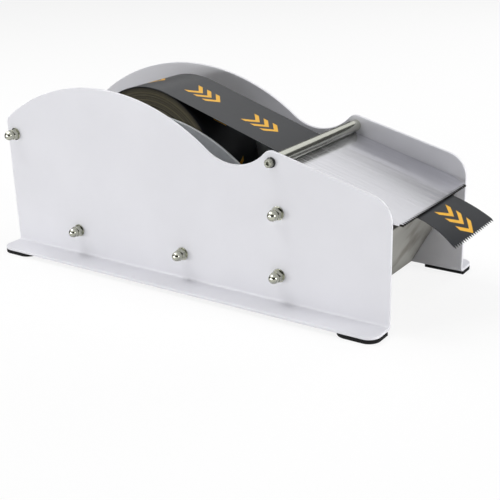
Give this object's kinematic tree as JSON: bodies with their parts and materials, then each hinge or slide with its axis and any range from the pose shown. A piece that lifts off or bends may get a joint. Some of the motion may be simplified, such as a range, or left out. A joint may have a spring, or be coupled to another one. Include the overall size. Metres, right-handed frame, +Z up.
{
  "type": "packing tape dispenser",
  "caption": "Bench dispenser for a roll of packing tape: two sheet side plates on rubber feet, a roll on rollers, a guide bar, a saw-edged cutting plate and a front chute.",
  "frame": {"origin": "on the bench, under the middle of the whole part's box", "axes": "+X towards the front, where the tape comes out; +Y to the right-hand plate; +Z up"},
  "size_m": [0.336, 0.143, 0.1246],
  "materials": {
    "powder_coat": "white powder coat, satin",
    "pad_rubber": "black, matt",
    "rod_steel": "zinc-plated threaded rod",
    "tube_steel": "drawn tube, bright",
    "roller_aluminium": "plain turned",
    "bush_nylon": "natural nylon",
    "cheek_steel": "zinc-plated sheet",
    "stainless_sheet": "brushed stainless",
    "bar_steel": "ground bright bar",
    "screw_steel": "bright socket screw",
    "washer_black": "black plastic",
    "nut_chrome": "polished, nickel-plated",
    "washer_steel": "bright plated",
    "tape_film": "dark grey film, satin",
    "core_board": "grey board"
  },
  "bodies": {
    "stand": {"left_side_plate": "powder_coat", "right_side_plate": "powder_coat", "left_rear_foot": "pad_rubber", "left_front_foot": "pad_rubber", "right_rear_foot": "pad_rubber", "right_front_foot": "pad_rubber", "rear_tie_rod": "rod_steel", "rear_tie_tube": "tube_steel", "rear_roller_rod": "rod_steel", "rear_roller_sleeve": "tube_steel", "front_roller_rod": "rod_steel", "front_roller_sleeve": "tube_steel", "rear_standoffs": "tube_steel", "front_standoffs": "tube_steel", "left_roll_cheek": "cheek_steel", "right_roll_cheek": "cheek_steel", "upper_front_rod": "rod_steel", "upper_front_spacer": "tube_steel", "lower_front_rod": "rod_steel", "lower_front_spacer": "tube_steel", "front_chute": "stainless_sheet", "cutting_plate": "stainless_sheet", "guide_bar": "bar_steel", "guide_bar_screws": "screw_steel", "guide_bar_washers": "washer_black", "domed_nuts": "nut_chrome", "plain_washers": "washer_steel", "tape_strip": "tape_film"},
    "roll": {"tape_roll": "tape_film", "tape_core": "core_board"},
    "rear_roller": {"rear_roller": "roller_aluminium", "rear_roller_bushes": "bush_nylon"},
    "front_roller": {"front_roller": "roller_aluminium", "front_roller_bushes": "bush_nylon"}
  },
  "joints": [
    {"name": "roll_spin", "type": "hinge", "parent": "stand", "child": "roll", "pos_m": [-0.06, 0, 0.06744], "axis": [0, 1, 0], "continuous": true},
    {"name": "rear_roller_spin", "type": "hinge", "parent": "stand", "child": "rear_roller", "pos_m": [-0.106, 0, 0.0218], "axis": [0, 1, 0], "continuous": true},
    {"name": "front_roller_spin", "type": "hinge", "parent": "stand", "child": "front_roller", "pos_m": [-0.014, 0, 0.0218], "axis": [0, 1, 0], "continuous": true}
  ],
  "couplings": [
    {"joint": "rear_roller_spin", "follows": "roll_spin", "ratio": -5.45},
    {"joint": "front_roller_spin", "follows": "roll_spin", "ratio": -5.45}
  ]
}
